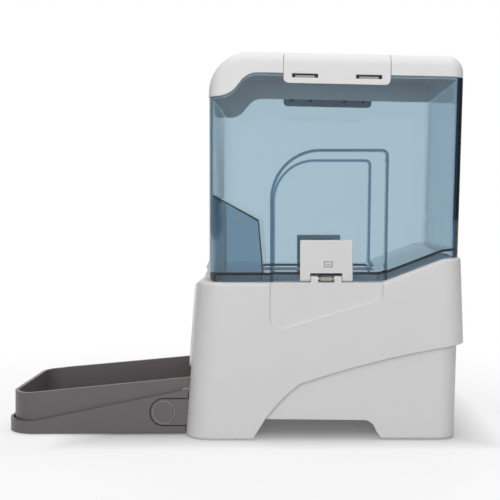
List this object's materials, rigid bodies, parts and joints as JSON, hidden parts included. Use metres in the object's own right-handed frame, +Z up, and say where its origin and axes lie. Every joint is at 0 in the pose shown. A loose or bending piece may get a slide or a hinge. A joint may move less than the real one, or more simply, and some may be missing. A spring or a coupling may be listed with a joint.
{
  "type": "automatic pet feeder",
  "caption": "Automatic pet feeder: a clear lidded hopper feeds dry food through a motor-driven paddle rotor and a chute into a removable bowl in front.",
  "frame": {"origin": "centre of the bounding box on the floor plane", "axes": "+X to the rear, bowl towards -X, +Y across to the left side, +Z up"},
  "size_m": [0.45, 0.2, 0.374],
  "materials": {
    "white_plastic": "satin white",
    "clear_blue": "clear blue tint",
    "grey_plastic": "satin warm grey",
    "button_plastic": "satin grey",
    "rubber": "matt",
    "steel": "bright",
    "brass": "sintered",
    "nylon": "natural",
    "dark_plastic": "matt",
    "display_glass": "smoked clear",
    "board": "lacquered"
  },
  "bodies": {
    "base": {"base_lower_shell": "white_plastic", "base_screws": "steel", "base_upper_shell": "white_plastic", "battery_box": "white_plastic", "battery_cells": "steel", "battery_contacts": "steel", "control_board": "board", "display_module": "dark_plastic", "display_window": "display_glass", "feed_housing": "white_plastic", "front_catch": "white_plastic", "front_fascia": "white_plastic", "gear_motor": "steel", "latch_pins": "steel", "latch_spring_left": "steel", "latch_spring_right": "steel", "motor_bracket": "steel", "portion_switch": "dark_plastic", "power_inlet": "dark_plastic", "rotor_bushes": "brass", "rubber_feet": "rubber", "tray_arms": "grey_plastic"},
    "hopper": {"hopper": "clear_blue", "hopper_baffle": "clear_blue"},
    "lid": {"lid": "white_plastic", "clip_pins": "steel"},
    "lid_clip_right": {"lid_clip_right": "white_plastic"},
    "lid_clip_left": {"lid_clip_left": "white_plastic"},
    "latch_right": {"latch_plate_right": "white_plastic"},
    "latch_left": {"latch_plate_left": "white_plastic"},
    "rotor": {"rotor_hub": "nylon", "rotor_vanes": "rubber", "rotor_shaft": "steel", "rotor_gear": "nylon", "portion_cam": "nylon"},
    "pinion": {"motor_pinion": "nylon"},
    "battery_cover": {"battery_cover": "white_plastic"},
    "tray": {"bowl_tray": "grey_plastic", "tray_pads": "rubber"},
    "bowl": {"food_bowl": "grey_plastic"},
    "set_button": {"set_button": "button_plastic"},
    "plus_button": {"plus_button": "button_plastic"},
    "minus_button": {"minus_button": "button_plastic"},
    "feed_button": {"feed_button": "button_plastic"}
  },
  "joints": [
    {"name": "hopper_lift", "type": "slide", "parent": "base", "child": "hopper", "axis": [0, 0, 1], "range_m": [0, 0.12]},
    {"name": "lid_lift", "type": "slide", "parent": "hopper", "child": "lid", "axis": [0, 0, 1], "range_m": [0, 0.06]},
    {"name": "lid_clip_right_hinge", "type": "hinge", "parent": "lid", "child": "lid_clip_right", "pos_m": [0.10145, -0.0784, 0.36996], "axis": [-0.9998, 0, 0.0218], "range_deg": [0, 75]},
    {"name": "lid_clip_left_hinge", "type": "hinge", "parent": "lid", "child": "lid_clip_left", "pos_m": [0.10145, 0.0784, 0.36996], "axis": [0.9998, 0, -0.0218], "range_deg": [0, 75]},
    {"name": "latch_right_hinge", "type": "hinge", "parent": "base", "child": "latch_right", "pos_m": [0.0907, -0.095, 0.1544], "axis": [1, 0, 0], "range_deg": [0, 60], "stiffness_Nm_per_rad": 0.08, "springref_deg": -20.05},
    {"name": "latch_left_hinge", "type": "hinge", "parent": "base", "child": "latch_left", "pos_m": [0.0907, 0.095, 0.1544], "axis": [-1, 0, 0], "range_deg": [0, 60], "stiffness_Nm_per_rad": 0.08, "springref_deg": -20.05},
    {"name": "rotor_spin", "type": "hinge", "parent": "base", "child": "rotor", "pos_m": [0.088, 0, 0.103], "axis": [0, 1, 0], "continuous": true},
    {"name": "pinion_spin", "type": "hinge", "parent": "base", "child": "pinion", "pos_m": [0.128, 0, 0.103], "axis": [0, 1, 0], "continuous": true},
    {"name": "battery_cover_slide", "type": "slide", "parent": "base", "child": "battery_cover", "axis": [0, -1, 0], "range_m": [0, 0.115]},
    {"name": "tray_slide", "type": "slide", "parent": "base", "child": "tray", "axis": [-1, 0, 0], "range_m": [0, 0.08]},
    {"name": "bowl_lift", "type": "slide", "parent": "tray", "child": "bowl", "axis": [0, 0, 1], "range_m": [0, 0.06]},
    {"name": "set_button_press", "type": "slide", "parent": "base", "child": "set_button", "axis": [0.9971, 0, -0.0759], "range_m": [0, 0.0012], "stiffness_N_per_m": 400, "springref_m": -0.0008},
    {"name": "plus_button_press", "type": "slide", "parent": "base", "child": "plus_button", "axis": [0.9971, 0, -0.0759], "range_m": [0, 0.0012], "stiffness_N_per_m": 400, "springref_m": -0.0008},
    {"name": "minus_button_press", "type": "slide", "parent": "base", "child": "minus_button", "axis": [0.9971, 0, -0.0759], "range_m": [0, 0.0012], "stiffness_N_per_m": 400, "springref_m": -0.0008},
    {"name": "feed_button_press", "type": "slide", "parent": "base", "child": "feed_button", "axis": [0.9971, 0, -0.0759], "range_m": [0, 0.0012], "stiffness_N_per_m": 400, "springref_m": -0.0008}
  ],
  "couplings": [
    {"joint": "pinion_spin", "follows": "rotor_spin", "ratio": -3}
  ]
}
